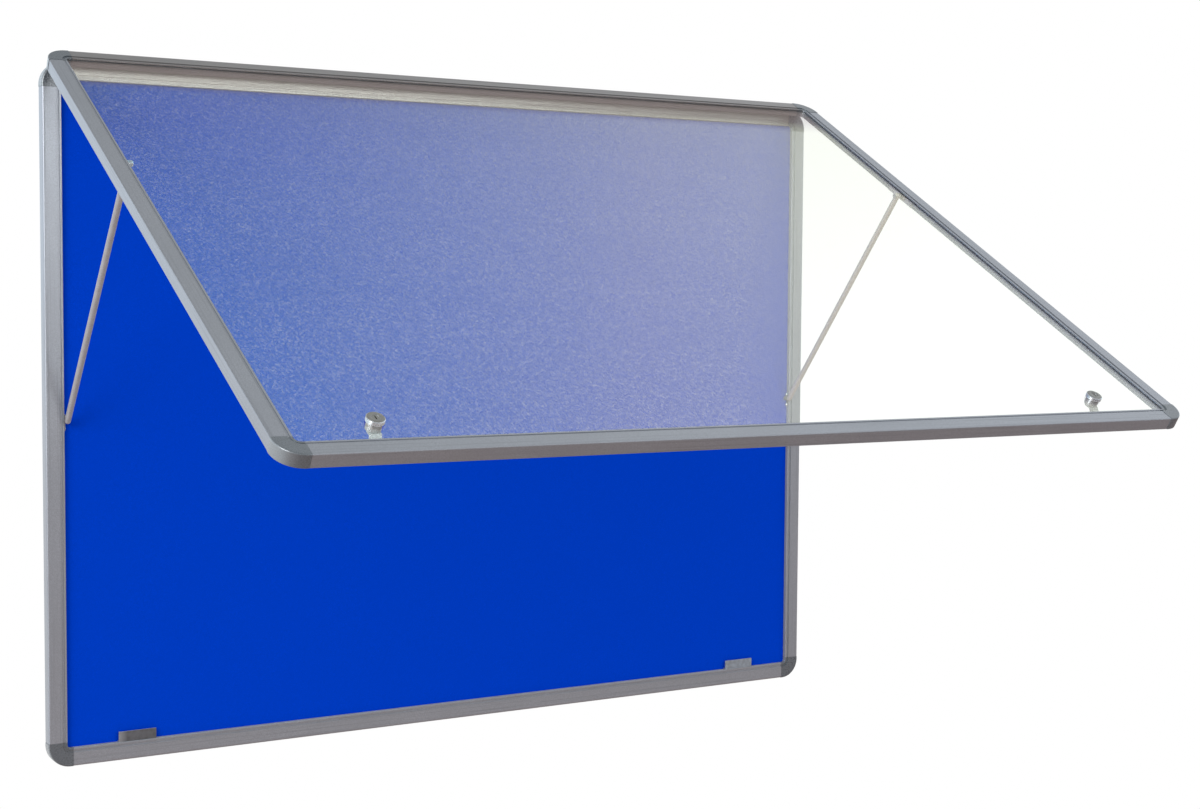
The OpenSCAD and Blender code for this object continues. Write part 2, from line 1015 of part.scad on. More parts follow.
module lock_housing(hand) {
    head_front = glazing_front + lock_head_t;
    color([0.55, 0.54, 0.53])
        in_door()
            lock_place(hand)
                difference() {
                    union() {
                        translate([0, 0, nut_back])
                            cylinder(r = barrel_r, h = head_front - nut_back);
                        translate([0, 0, glazing_front])
                            cylinder(r = lock_head_r, h = lock_head_t - lock_chamfer);
                        translate([0, 0, head_front - lock_chamfer])
                            cylinder(r1 = lock_head_r, r2 = lock_head_r - lock_chamfer, h = lock_chamfer);
                    }
                    cylinder(r = plug_r + run_fit, h = head_front + over);
                }
}

module lock_housing_left() {
    lock_housing(-1);
}

module lock_housing_right() {
    lock_housing(1);
}

module lock_nut(hand) {
    color([0.78, 0.79, 0.80])
        in_door()
            lock_place(hand)
                translate([0, 0, nut_back])
                    difference() {
                        cylinder(r = lock_nut_r, h = glazing_d - nut_back);
                        translate([0, 0, -over])
                            cylinder(r = barrel_r, h = glazing_d + 2 * over);
                    }
}

module lock_nut_left() {
    lock_nut(-1);
}

module lock_nut_right() {
    lock_nut(1);
}

module lock_plug(hand) {
    front = glazing_front + lock_head_t - pass_gap;
    shoulder = cam_t / 2;
    color([0.60, 0.58, 0.55])
        in_door()
            lock_place(hand)
                difference() {
                    union() {
                        translate([0, 0, shoulder])
                            cylinder(r = plug_r, h = front - shoulder);
                        translate([0, 0, -shoulder])
                            cylinder(r = tang_r, h = cam_t);
                    }
                    translate([-keyway_w / 2, -keyway_h / 2, front - keyway_deep])
                        cube([keyway_w, keyway_h, keyway_deep + over]);
                    translate([0, 0, -shoulder - over])
                        cylinder(r = screw_r, h = screw_l + over);
                }
}

module lock_plug_left() {
    lock_plug(-1);
}

module lock_plug_right() {
    lock_plug(1);
}

// Cam: a flat root on the tang, then a crank towards the wall, pointing down the door
module cam_side() {
    step = cam_w / 2;
    run = cam_crank;
    polygon([
        [-step, cam_t / 2],
        [step + cam_t / 2, cam_t / 2],
        [step + cam_t / 2 + run, cam_t / 2 - cam_crank],
        [cam_reach, cam_t / 2 - cam_crank],
        [cam_reach, -cam_t / 2 - cam_crank],
        [step + run, -cam_t / 2 - cam_crank],
        [step, -cam_t / 2],
        [-step, -cam_t / 2]
    ]);
}

module cam_plan() {
    tip_r = cam_w / 4;
    circle(r = cam_w / 2);
    translate([-cam_w / 2, tip_r - cam_reach])
        square([cam_w, cam_reach - tip_r]);
    translate([tip_r - cam_w / 2, -cam_reach])
        square([cam_w - 2 * tip_r, tip_r + over]);
    for (hand = HANDS)
        translate([hand * (cam_w / 2 - tip_r), tip_r - cam_reach])
            circle(r = tip_r);
}

module lock_cam(hand) {
    color([0.76, 0.77, 0.79])
        in_door()
            lock_place(hand)
                difference() {
                    intersection() {
                        rotate([90, 0, -90])
                            linear_extrude(height = cam_w, center = true)
                                cam_side();
                        translate([0, 0, -cam_reach])
                            linear_extrude(height = 2 * cam_reach)
                                cam_plan();
                    }
                    cylinder(r = tang_r, h = cam_reach, center = true);
                }
}

module lock_cam_left() {
    lock_cam(-1);
}

module lock_cam_right() {
    lock_cam(1);
}

module cam_screw(hand) {
    color([0.80, 0.80, 0.80])
        in_door()
            lock_place(hand)
                translate([0, 0, -cam_t / 2])
                    mirror([0, 0, 1])
                        screw(screw_r, screw_l, cam_head_r, cam_head_t);
}

module cam_screw_left() {
    cam_screw(-1);
}

module cam_screw_right() {
    cam_screw(1);
}

frame_rail_top();
frame_rail_bottom();
frame_rail_left();
frame_rail_right();
frame_corner_bottom_left();
frame_corner_bottom_right();
frame_corner_top_right();
frame_corner_top_left();
pinboard_core();
fabric_facing();
back_sheet();
keep_plate_left();
keep_plate_right();
keep_screws();
stay_catch_left();
stay_catch_right();
catch_screws();
hanging_plates();
hanging_screws();
hinge_leaf_frame();
hinge_pin();
hinge_screws_frame();
door_rail_top();
door_rail_bottom();
door_rail_left();
door_rail_right();
door_corner_bottom_left();
door_corner_bottom_right();
door_corner_top_right();
door_corner_top_left();
glazing_sheet();
glazing_gasket();
hinge_leaf_door();
hinge_screws_door();
stay_bracket_left();
stay_bracket_right();
stay_pivot_left();
stay_pivot_right();
bracket_screws();
lock_housing_left();
lock_housing_right();
lock_nut_left();
lock_nut_right();
lock_plug_left();
lock_plug_right();
lock_cam_left();
lock_cam_right();
cam_screw_left();
cam_screw_right();
stay_rod_left();
stay_rod_right();
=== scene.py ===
"""The lockable notice board, dressed: its finishes, small fittings, studio light and camera."""
import json
import logging
import math
from dataclasses import dataclass
from enum import Enum

import bmesh
import bpy
from mathutils import Euler, Matrix, Vector


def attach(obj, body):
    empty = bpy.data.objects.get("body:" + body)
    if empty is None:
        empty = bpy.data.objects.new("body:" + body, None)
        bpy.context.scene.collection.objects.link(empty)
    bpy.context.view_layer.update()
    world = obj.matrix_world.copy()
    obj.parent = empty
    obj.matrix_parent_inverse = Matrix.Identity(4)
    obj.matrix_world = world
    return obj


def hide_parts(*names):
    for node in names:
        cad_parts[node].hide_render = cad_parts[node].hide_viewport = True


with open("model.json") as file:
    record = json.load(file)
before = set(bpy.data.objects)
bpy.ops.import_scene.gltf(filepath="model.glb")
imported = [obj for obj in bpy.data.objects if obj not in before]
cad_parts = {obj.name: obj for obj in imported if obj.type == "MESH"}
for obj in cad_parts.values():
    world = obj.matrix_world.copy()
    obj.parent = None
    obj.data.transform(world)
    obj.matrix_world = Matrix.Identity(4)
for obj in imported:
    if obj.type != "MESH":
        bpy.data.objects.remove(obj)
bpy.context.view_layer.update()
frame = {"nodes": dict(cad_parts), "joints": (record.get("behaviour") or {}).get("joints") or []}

log = logging.getLogger("notice_board")
Rgb = tuple[float, float, float]
Way = tuple[float, float, float]
Span = tuple[float, float]
Profile = list[Span]
Socket = bpy.types.NodeSocket
Mesh = bmesh.types.BMesh

OPEN_ANGLE = math.radians(60)
DOOR_OUT = Vector((0, -math.cos(OPEN_ANGLE), math.sin(OPEN_ANGLE)))
DOOR_DOWN = Vector((0, -math.sin(OPEN_ANGLE), -math.cos(OPEN_ANGLE)))
TO_ROOM = Vector((0, -1, 0))
TO_WALL = Vector((0, 1, 0))
RIGHT: Way = (1, 0, 0)
LEFT: Way = (-1, 0, 0)
UP: Way = (0, 0, 1)
WELD = 1e-7  # metres, within which points are one
LEVEL = 1e-6  # metres, within which points are at one height
SHARP_EDGE = 0.6  # radians, above which an edge stays sharp

# Parts of a noise pattern's range, between which a finish goes from one look to another.
BROAD: Span = (0.3, 0.7)
WIDE: Span = (0.35, 0.7)
MIDDLE: Span = (0.35, 0.65)
UPPER: Span = (0.4, 0.7)


class Run(Enum):
    """The way the drawing lines of a rail run, as the turn that lays them along the x axis."""

    ACROSS = (0.0, 0.0, 0.0)
    UPRIGHT = (0.0, math.pi / 2, 0.0)
    DOOR_SIDE = (OPEN_ANGLE, math.pi / 2, 0.0)


class Side(Enum):
    """A side of the board, as seen from the front."""

    LEFT = "left"
    RIGHT = "right"


# ---------------------------------------------------------------- shader bench


class NodeBench:
    """A node tree, with short calls for the nodes that a finish or a light needs."""

    def __init__(self, tree: bpy.types.NodeTree) -> None:
        """Takes the tree to work on."""
        self.tree = tree

    def add(self, kind: str, **settings: object) -> bpy.types.Node:
        """Adds a node and sets its options.

        Args:
            kind: The node's type name, without its ShaderNode prefix.
            settings: Options to set on it.

        Returns:
            The new node.
        """
        node = self.tree.nodes.new("ShaderNode" + kind)
        for key, value in settings.items():
            setattr(node, key, value)
        return node

    def link(self, source: Socket, target: Socket) -> None:
        """Joins two sockets."""
        self.tree.links.new(source, target)

    def feed(self, socket: Socket, value: object) -> None:
        """Gives a socket a link or a plain value.

        Args:
            socket: The input to fill.
            value: A socket to link from, a number, a vector or a colour.
        """
        if isinstance(value, Socket):
            self.link(value, socket)
        elif isinstance(value, tuple) and len(value) == 3 and socket.type == "RGBA":
            socket.default_value = (*value, 1.0)
        else:
            socket.default_value = value

    def fill(self, node: bpy.types.Node, inputs: dict[int | str, object]) -> bpy.types.Node:
        """Fills a node's inputs.

        Args:
            node: The node.
            inputs: What goes into each input, by its name or number.

        Returns:
            The same node.
        """
        for key, value in inputs.items():
            self.feed(node.inputs[key], value)
        return node

    def sum(self, operation: str, first: object, second: object = 0.0) -> Socket:
        """Does one sum on two values.

        Args:
            operation: ADD, MULTIPLY, MAXIMUM and the like.
            first: A socket or a number.
            second: A socket or a number.

        Returns:
            The result's socket.
        """
        return self.fill(self.add("Math", operation=operation), {0: first, 1: second}).outputs[0]

    def product(self, first: Socket, *others: object) -> Socket:
        """Multiplies values, one after the other.

        Args:
            first: The first value.
            others: Sockets or numbers.

        Returns:
            The product's socket.
        """
        for other in others:
            first = self.sum("MULTIPLY", first, other)
        return first

    def vectors(self, operation: str, inputs: dict[int | str, object]) -> bpy.types.Node:
        """Does one sum on vectors, and gives its node."""
        return self.fill(self.add("VectorMath", operation=operation), inputs)

    def along(self, vector: Socket, way: Way) -> Socket:
        """Measures a vector along a direction."""
        return self.vectors("DOT_PRODUCT", {0: vector, 1: way}).outputs["Value"]

    def scaled(self, vector: object, level: object) -> Socket:
        """Scales a vector or a colour by a level."""
        return self.vectors("SCALE", {0: vector, "Scale": level}).outputs[0]

    def spread(self, value: Socket, low: float, high: float, to_low: float = 0,
               to_high: float = 1, smooth: bool = False) -> Socket:
        """Maps one range of a value to another, with both ends held.

        Args:
            value: The value.
            low: Where the range starts.
            high: Where it ends.
            to_low: What the start becomes.
            to_high: What the end becomes.
            smooth: Whether it eases in and out.

        Returns:
            The mapped value's socket.
        """
        node = self.add("MapRange", interpolation_type="SMOOTHSTEP" if smooth else "LINEAR")
        return self.fill(node, {"Value": value, "From Min": low, "From Max": high,
                                "To Min": to_low, "To Max": to_high}).outputs["Result"]

    def tint(self, share: object, first: object, second: object) -> Socket:
        """Mixes two colours.

        Args:
            share: How much of the second colour shows.
            first: A socket or a colour.
            second: A socket or a colour.

        Returns:
            The mixed colour's socket.
        """
        node = self.add("Mix", data_type="RGBA")
        return self.fill(node, {0: share, 6: first, 7: second}).outputs[2]

    def overlay(self, base: object, pattern: Socket, span: Span, colour: object,
                amount: float = 1) -> Socket:
        """Lets a pattern change a colour.

        Args:
            base: The colour where the pattern is low.
            pattern: The pattern.
            span: Where in its range the change starts and ends.
            colour: The colour where the pattern is high.
            amount: How much of that colour shows there.

        Returns:
            The mixed colour's socket.
        """
        return self.tint(self.spread(pattern, *span, 0, amount), base, colour)

    def blend_shaders(self, share: Socket, first: Socket, second: Socket) -> Socket:
        """Mixes two shaders, by the share that shows of the second one."""
        return self.fill(self.add("MixShader"), {0: share, 1: first, 2: second}).outputs[0]

    def rays(self) -> tuple[Socket, Socket]:
        """Tells apart the rays that see the background.

        Returns:
            1 for rays of the camera, also through clear glass, and 1 for rays that metal or
            glass mirrors.
        """
        path = self.add("LightPath").outputs
        bounced = self.sum("MINIMUM", path["Glossy Depth"], 1.0)
        through = self.product(path["Is Transmission Ray"], self.sum("SUBTRACT", 1.0, bounced))
        reflected = self.product(path["Is Glossy Ray"], bounced)
        return self.sum("MAXIMUM", path["Is Camera Ray"], through), reflected


class Bench(NodeBench):
    """One material's node tree, with its principled shader."""

    def __init__(self, name: str) -> None:
        """Starts a material with one principled shader.

        Args:
            name: The material's name.
        """
        self.material = bpy.data.materials.new(name)
        self.material.use_nodes = True
        super().__init__(self.material.node_tree)
        self.shader = self.tree.nodes["Principled BSDF"]
        self.surface = self.tree.nodes["Material Output"].inputs["Surface"]

    def lay(self, spot: Socket, stretch: Way, turn: Way) -> Socket:
        """Turns a point about the origin, then stretches it.

        Args:
            spot: The point.
            stretch: Scale of the three axes after the turn.
            turn: Turn about x, y and z.

        Returns:
            The vector socket.
        """
        for key, value in (("Rotation", turn), ("Scale", stretch)):
            spot = self.fill(self.add("Mapping"), {key: value, "Vector": spot}).outputs["Vector"]
        return spot

    def place(self, stretch: Way = (1, 1, 1), turn: Way = (0, 0, 0)) -> Socket:
        """Gives the point on the piece, turned and stretched."""
        return self.lay(self.add("TexCoord").outputs["Object"], stretch, turn)

    def faces(self, way: Way) -> Socket:
        """Measures how squarely the surface faces a direction."""
        return self.along(self.add("NewGeometry").outputs["Normal"], way)

    def noise(self, spot: Socket, scale: float, detail: float = 2, rough: float = 0.5,
              output: str = "Fac") -> Socket:
        """Adds a noise pattern.

        Args:
            spot: The point it is taken at.
            scale: Cells per metre.
            detail: Octaves of finer noise.
            rough: Weight of the finer octaves.
            output: Fac for its value, Color for three values.

        Returns:
            Its socket.
        """
        return self.fill(self.add("TexNoise"), {"Scale": scale, "Detail": detail,
                                                "Roughness": rough, "Vector": spot}).outputs[output]

    def relief(self, height: Socket, depth: float, strength: float = 1.0) -> None:
        """Raises the surface by a pattern.

        Args:
            height: The pattern.
            depth: Its height in metres.
            strength: How strongly it tips the light.
        """
        node = self.fill(self.add("Bump"), {"Distance": depth, "Strength": strength,
                                            "Height": height})
        previous = self.shader.inputs["Normal"].links
        if previous:
            self.link(previous[0].from_socket, node.inputs["Normal"])
        self.link(node.outputs["Normal"], self.shader.inputs["Normal"])

    def set(self, **values: object) -> None:
        """Fills the shader's own sockets, with underscores in their names for spaces."""
        self.fill(self.shader, {key.replace("_", " "): value for key, value in values.items()})


# ---------------------------------------------------------------- finishes


@dataclass(frozen=True)
class Finish:
    """What every finish has: its name and its main colour."""

    name: str
    colour: Rgb

    def tone(self, factor: float) -> Rgb:
        """Gives the main colour, made lighter or darker channel by channel."""
        return tuple(min(1.0, channel * factor) for channel in self.colour)

    def paint(self, bench: Bench) -> None:
        """Sets up the shader of a material on its bench."""
        raise NotImplementedError

    def material(self) -> bpy.types.Material:
        """Builds the finish as a material.

        Returns:
            The material.
        """
        bench = Bench(self.name)
        self.paint(bench)
        return bench.material


@dataclass(frozen=True)
class AnodisedAluminium(Finish):
    """Satin anodised aluminium, with fine grain and faint drawing lines along the rail."""

    run: Run = Run.ACROSS
    roughness: float = 0.36
    along: Way = RIGHT
    ends: Span = (-10.0, 10.0)
    pitch: float = 620
    line_stretch: float = 5
    line_span: Span = (0.56, 0.68)
    line_tone: float = 0.7
    line_depth: float = 0.00003
    grain_cells: float = 950
    grain_depth: float = 0.00002
    sparkle: float = 0.2
    cloud_cells: float = 9
    cloud_tone: float = 0.88
    # seam and its tone: width and colour of the painted shade with grime in the seams at the rail's
    # ends
    seam: float = 0.0009
    seam_shade_and_grime_tone: float = 0.35
    metal: float = 0.7

    def paint(self, bench: Bench) -> None:
        """Lays on the grain, the lines, soft clouds, and painted shade with grime in the seams at
        both ends.

        Args:
            bench: The material's bench.
        """
        spot = bench.place()
        streaks = bench.noise(bench.place((self.line_stretch, self.pitch, self.pitch),
                                          self.run.value), 1.0, 2)
        clouds = bench.noise(spot, self.cloud_cells, 3)
        grain = bench.noise(spot, self.grain_cells, 2, 0.7)
        base = bench.overlay(self.tone(1 - self.sparkle), grain, BROAD,
                             self.tone(1 + self.sparkle))
        base = bench.overlay(base, streaks, self.line_span, self.tone(self.line_tone), 0.5)
        base = bench.overlay(base, clouds, MIDDLE, self.tone(self.cloud_tone), 0.35)
        # painted shade with grime: the colour darkens towards both ends of the rail, where it meets
        # the corner pieces
        middle, half = sum(self.ends) / 2, (self.ends[1] - self.ends[0]) / 2
        from_middle = bench.sum("SUBTRACT", bench.along(spot, self.along), middle)
        base = bench.overlay(base, bench.sum("ABSOLUTE", from_middle), (half - self.seam, half),
                             self.tone(self.seam_shade_and_grime_tone), 0.7)
        bench.set(Base_Color=base, Metallic=self.metal,
                  Roughness=bench.spread(bench.sum("ADD", grain, streaks), 0.6, 1.4,
                                         self.roughness - 0.06, self.roughness + 0.08))
        bench.relief(streaks, self.line_depth, 0.5)
        bench.relief(grain, self.grain_depth, 0.35)


@dataclass(frozen=True)
class CornerPaint(Finish):
    """Slate grey powder coat on the cast corner pieces, paler on the sides the light rakes."""

    lit_side: Rgb = (0.26, 0.3, 0.33)
    gloss: Span = (0.24, 0.34)
    peel_cells: float = 420
    peel_depth: float = 0.00003
    fleck_cells: float = 900
    fleck_depth: float = 0.00001
    cloud_cells: float = 30

    def paint(self, bench: Bench) -> None:
        """Lays on the orange peel, its flecks and clouds, and painted light on the left-hand sides.

        Args:
            bench: The material's bench.
        """
        spot = bench.place()
        peel = bench.noise(spot, self.peel_cells, 2)
        fleck = bench.noise(spot, self.fleck_cells, 1, 0.6)
        cloud = bench.noise(spot, self.cloud_cells, 2)
        base = bench.overlay(self.tone(0.8), fleck, (0.35, 0.68), self.tone(1.25))
        base = bench.overlay(base, cloud, UPPER, self.tone(0.85), 0.4)
        # painted light: surfaces that face left are made paler, where the key lamp rakes them
        base = bench.overlay(base, bench.faces(LEFT), (0.3, 0.95), self.lit_side, 0.85)
        bench.set(Base_Color=base, IOR=2.1, Metallic=0.2,
                  Roughness=bench.spread(peel, *BROAD, *self.gloss))
        bench.relief(peel, self.peel_depth, 0.4)
        bench.relief(fleck, self.fleck_depth, 0.3)


@dataclass(frozen=True)
class BlueFelt(Finish):
    """Needled felt: matted short fibres with a soft nap, with painted shade where it is seen
    through the glass and a painted greyer reflection in satin metal.
    """

    in_metal: Rgb = (0.45, 0.43, 0.5)
    metal_share: float = 0.85
    shade_behind_glass: float = 0.13
    fibre_turns: tuple[float, ...] = (0.35, 1.45, 2.4)
    fibre_stretch: Way = (260, 1200, 2400)
    fibre_depth: float = 0.00025
    curl: float = 0.006
    curl_cells: float = 160
    nap_cells: float = 14
    sheen: Rgb = (0.0, 0.2, 1.0)

    def paint(self, bench: Bench) -> None:
        """Mats curled fibres of three directions, then adds the nap, the painted shade behind the
        glass, the painted grey reflection and the sheen.

        Args:
            bench: The material's bench.
        """
        spot = bench.place()
        swirl = bench.scaled(bench.noise(spot, self.curl_cells, output="Color"), self.curl)
        curled = bench.vectors("ADD", {0: spot, 1: swirl}).outputs[0]
        fibres = [bench.noise(bench.lay(curled, self.fibre_stretch, (0, turn, 0)), 1.0, 1)
                  for turn in self.fibre_turns]
        mat = fibres[0]
        for layer in fibres[1:]:
            mat = bench.sum("MAXIMUM", mat, layer)
        nap = bench.noise(spot, self.nap_cells, 3)
        base = bench.overlay(self.tone(0.86), mat, (0.5, 0.8), self.tone(1.16))
        base = bench.overlay(base, nap, WIDE, self.tone(0.94), 0.5)
        path = bench.add("LightPath").outputs
        # painted shade: seen through the glass, the felt's colour is darkened towards black
        base = bench.tint(bench.product(path["Is Transmission Ray"], self.shade_behind_glass), base,
                          (0.0, 0.0, 0.0))
        # painted reflection: after a glossy bounce the felt is seen as a grey, so metal mirrors it
        # greyer
        base = bench.tint(bench.sum("MINIMUM", path["Glossy Depth"], self.metal_share), base,
                          self.in_metal)
        bench.set(Base_Color=base, Roughness=bench.spread(mat, 0.4, 0.8, 0.85, 1.0),
                  Specular_IOR_Level=0.01, Sheen_Weight=0.03, Sheen_Roughness=0.6,
                  Sheen_Tint=self.sheen)
        bench.relief(mat, self.fibre_depth, 0.5)


@dataclass(frozen=True)
class ClearGlazing(Finish):
    """Clear sheet: it lets lamp light through, and carries a faint film of dust outside.

    The film ends a little below the sheet's top edge, and at a slanting line on the right.
    """

    top: float
    film: float = 0.14
    dust: Rgb = (0.7, 0.7, 0.7)
    clear: Rgb = (0.955, 0.965, 0.96)
    grain: Way = (680, 420, 420)
    smear: Way = (3, 14, 14)
    clean_top: Span = (0.045, 0.075)
    clean_right: Span = (0.5, 0.58)
    dusty_left: float = -0.4
    slope: float = 0.67

    def paint(self, bench: Bench) -> None:
        """Sets up the clear sheet, its dust and the way through for lamp light.

        Args:
            bench: The material's bench.
        """
        bench.set(Base_Color=self.colour, Roughness=0.0, IOR=1.5, Transmission_Weight=1.0)
        cells = bench.fill(bench.add("TexVoronoi"), {
            "Scale": 1.0, "Vector": bench.place(self.grain, (OPEN_ANGLE, 0, 0))})
        speck = bench.sum("POWER", bench.along(cells.outputs["Color"], RIGHT), 4.0)
        smears = bench.noise(bench.place(self.smear), 1.0, 3)
        outside = bench.spread(bench.faces(tuple(DOOR_OUT)), 0.4, 0.6)
        drop = bench.along(bench.place(), tuple(DOOR_DOWN))
        slant = bench.sum("ADD", bench.along(bench.place(), RIGHT),
                          bench.product(bench.sum("SUBTRACT", drop, self.top), self.slope))
        share = bench.product(
            speck, bench.spread(smears, *BROAD, 0.85, 1.15), outside, self.film,
            bench.spread(drop, *(self.top + edge for edge in self.clean_top)),
            bench.spread(slant, self.dusty_left, self.clean_right[0], 0.85, 1.3),
            bench.spread(slant, *self.clean_right, 1.0, 0.0))
        dust = bench.fill(bench.add("BsdfDiffuse"), {"Color": self.dust})
        clear = bench.fill(bench.add("BsdfTransparent"), {"Color": self.clear})
        filmed = bench.blend_shaders(share, bench.shader.outputs[0], dust.outputs[0])
        path = bench.add("LightPath").outputs
        lit = bench.sum("MAXIMUM", path["Is Shadow Ray"], path["Is Diffuse Ray"])
        bench.link(bench.blend_shaders(lit, filmed, clear.outputs[0]), bench.surface)


@dataclass(frozen=True)
class SoftRubber(Finish):
    """Matt black sealing rubber with a dusty bloom."""

    bloom_stretch: Way = (20, 300, 300)
    bloom_depth: float = 0.00005
    bloom_tone: float = 1.7

    def paint(self, bench: Bench) -> None:
        """Lays on the bloom.

        Args:
            bench: The material's bench.
        """
        bloom = bench.noise(bench.place(self.bloom_stretch), 1.0, 3)
        bench.set(Base_Color=bench.overlay(self.colour, bloom, UPPER, self.tone(self.bloom_tone)),
                  Roughness=bench.spread(bloom, *BROAD, 0.6, 0.8), Specular_IOR_Level=0.35)
        bench.relief(bloom, self.bloom_depth, 0.4)


@dataclass(frozen=True)
class PlatedMetal(Finish):
    """Plated or brushed metal, with fine scratches and a little mottling, and where set a painted
    highlight on its upper faces and at one end.
    """

    roughness: float = 0.3
    mottle: float = 0.12
    metal: float = 1.0
    brush: Way = (900, 900, 900)
    lit_rim: Rgb | None = None
    lit_end: float | None = None
    lit_length: float = 0.011
    lit_tone: float = 2.6
    mottle_cells: float = 140
    scratch_depth: float = 0.00002

    def paint(self, bench: Bench) -> None:
        """Lays on the mottling and scratches, and the painted highlights on an end and on the upper
        faces where it has them.

        Args:
            bench: The material's bench.
        """
        spot = bench.place()
        scratches = bench.noise(bench.place(self.brush), 1.0, 3)
        mottle = bench.noise(spot, self.mottle_cells, 3)
        base = bench.overlay(self.tone(1 - self.mottle), mottle, MIDDLE,
                             self.tone(1 + self.mottle))
        # painted highlight: the colour turns paler near one end, as light catching a bent end
        if self.lit_end is not None:
            near = bench.spread(bench.along(spot, RIGHT), self.lit_end,
                                self.lit_end + self.lit_length, 0.75, 0)
            base = bench.tint(near, base, self.tone(self.lit_tone))
        # painted highlight: faces that look up are paler, as if the light from above catches them
        if self.lit_rim is not None:
            base = bench.overlay(base, bench.faces(UP), (0.4, 0.8), self.lit_rim)
        bench.set(Base_Color=base, Metallic=self.metal,
                  Roughness=bench.spread(scratches, *BROAD, self.roughness - 0.07,
                                         self.roughness + 0.1))
        bench.relief(scratches, self.scratch_depth, 0.4)


@dataclass(frozen=True)
class PressedFibre(Finish):
    """Pressed wood fibre, with long pale fibres in a darker ground."""

    fibre_stretch: Way = (160, 500, 900)
    fibre_turn: Way = (0, 0.5, 0)
    fibre_depth: float = 0.0003
    clump_cells: float = 60

    def paint(self, bench: Bench) -> None:
        """Lays on the fibres and their clumps.

        Args:
            bench: The material's bench.
        """
        fibre = bench.noise(bench.place(self.fibre_stretch, self.fibre_turn), 1.0, 4, 0.7)
        clump = bench.noise(bench.place(), self.clump_cells, 3)
        base = bench.overlay(self.tone(0.75), fibre, WIDE, self.tone(1.2))
        base = bench.overlay(base, clump, UPPER, self.tone(0.8), 0.4)
        bench.set(Base_Color=base, Roughness=bench.spread(fibre, *BROAD, 0.8, 0.95))
        bench.relief(fibre, self.fibre_depth, 0.6)


@dataclass(frozen=True)
class BackBoard(Finish):
    """Pale backing sheet with a shallow moulded grain and scuffs."""

    scuff_stretch: Way = (4, 40, 18)
    grain_cells: float = 700
    grain_depth: float = 0.00006

    def paint(self, bench: Bench) -> None:
        """Lays on the scuffs and the grain.

        Args:
            bench: The material's bench.
        """
        grain = bench.noise(bench.place(), self.grain_cells, 2, 0.6)
        scuff = bench.noise(bench.place(self.scuff_stretch), 1.0, 4, 0.65)
        base = bench.overlay(self.colour, scuff, (0.45, 0.75), self.tone(0.8), 0.6)
        base = bench.overlay(base, grain, UPPER, self.tone(1.12), 0.4)
        bench.set(Base_Color=base, Roughness=bench.spread(grain, *BROAD, 0.5, 0.65))
        bench.relief(grain, self.grain_depth, 0.5)


_made: dict[str, bpy.types.Material] = {}


def dress(piece: bpy.types.Object, finish: Finish) -> None:
    """Gives a piece its finish, making the material the first time it is called for.

    Args:
        piece: The object to dress.
        finish: What it is finished in.
    """
    if finish.name not in _made:
        _made[finish.name] = finish.material()
    piece.data.materials.clear()
    piece.data.materials.append(_made[finish.name])


def dress_nodes(finish: Finish, *nodes: str) -> None:
    """Dresses some of the board's own solids by their names."""
    for node in nodes:
        dress(frame["nodes"][node], finish)


# ---------------------------------------------------------------- mesh work


def reach(node: str, way: Way) -> Span:
    """Measures how far one of the board's solids reaches along a direction.

    Args:
        node: The solid's name.
        way: The direction.

    Returns:
        Its lowest and highest point along it.
    """
    along = [vert.co.dot(Vector(way)) for vert in frame["nodes"][node].data.vertices]
    return min(along), max(along)


def new_piece(name: str, shape: Mesh) -> bpy.types.Object:
    """Turns a finished bmesh into an object in the scene, smooth but for its sharp edges.

    Args:
        name: The piece's name.
        shape: The mesh, which is freed.

    Returns:
        The object.
    """
    bmesh.ops.recalc_face_normals(shape, faces=shape.faces)
    for face in shape.faces:
        face.smooth = True
    for edge in shape.edges:
        if len(edge.link_faces) == 2 and edge.calc_face_angle(0) > SHARP_EDGE:
            edge.smooth = False
    mesh = bpy.data.meshes.new(name)
    shape.to_mesh(mesh)
    shape.free()
    piece = bpy.data.objects.new(name, mesh)
    bpy.context.scene.collection.objects.link(piece)
    return piece


def turned(profile: Profile, segments: int) -> Mesh:
    """Turns a profile about the z axis as on a lathe.

    Args:
        profile: Radius and height of each point; a closed outline starts and ends on one point,
            an open one has its ends on the axis.
        segments: Facets round the circle.

    Returns:
        The turned mesh.
    """
    shape = bmesh.new()
    rings = []
    for radius, height in profile:
        if radius < WELD:
            rings.append([shape.verts.new((0, 0, height))] * segments)
        else:
            rings.append([shape.verts.new((radius * math.cos(2 * math.pi * i / segments),
                                           radius * math.sin(2 * math.pi * i / segments), height))
                          for i in range(segments)])
    for lower, upper in zip(rings, rings[1:]):
        for i in range(segments):
            after = (i + 1) % segments
            corners = list(dict.fromkeys([lower[i], lower[after], upper[after], upper[i]]))
            if len(corners) > 2:
                shape.faces.new(corners)
    bmesh.ops.remove_doubles(shape, verts=shape.verts, dist=WELD)
    return shape


def facing(axis: Vector, origin: Vector) -> Matrix:
    """Gives the move that takes a piece made about z to a place on the board.

    Args:
        axis: Where the piece's z axis points.
        origin: Where its origin goes.

    Returns:
        The matrix, with the piece's x axis kept along the board's.
    """
    axis = axis.normalized()
    across = Vector(RIGHT)
    turn = Matrix((across, axis.cross(across).normalized(), axis)).transposed()
    return Matrix.Translation(origin) @ turn.to_4x4()


def cut(body: Mesh, cutters: list[Mesh]) -> Mesh:
    """Cuts shapes out of a closed mesh.

    Args:
        body: The mesh to cut, which is freed.
        cutters: Closed meshes to take away, which are freed.

    Returns:
        What is left.
    """
    block = new_piece("blank", body)
    tools = [new_piece("cutter", cutter) for cutter in cutters]
    for tool in tools:
        step = block.modifiers.new("cut", "BOOLEAN")
        step.operation = "DIFFERENCE"
        step.solver = "EXACT"
        step.object = tool
    result = bmesh.new()
    result.from_object(block, bpy.context.evaluated_depsgraph_get())
    for used in [block, *tools]:
        bpy.data.objects.remove(used, do_unlink=True)
    return result


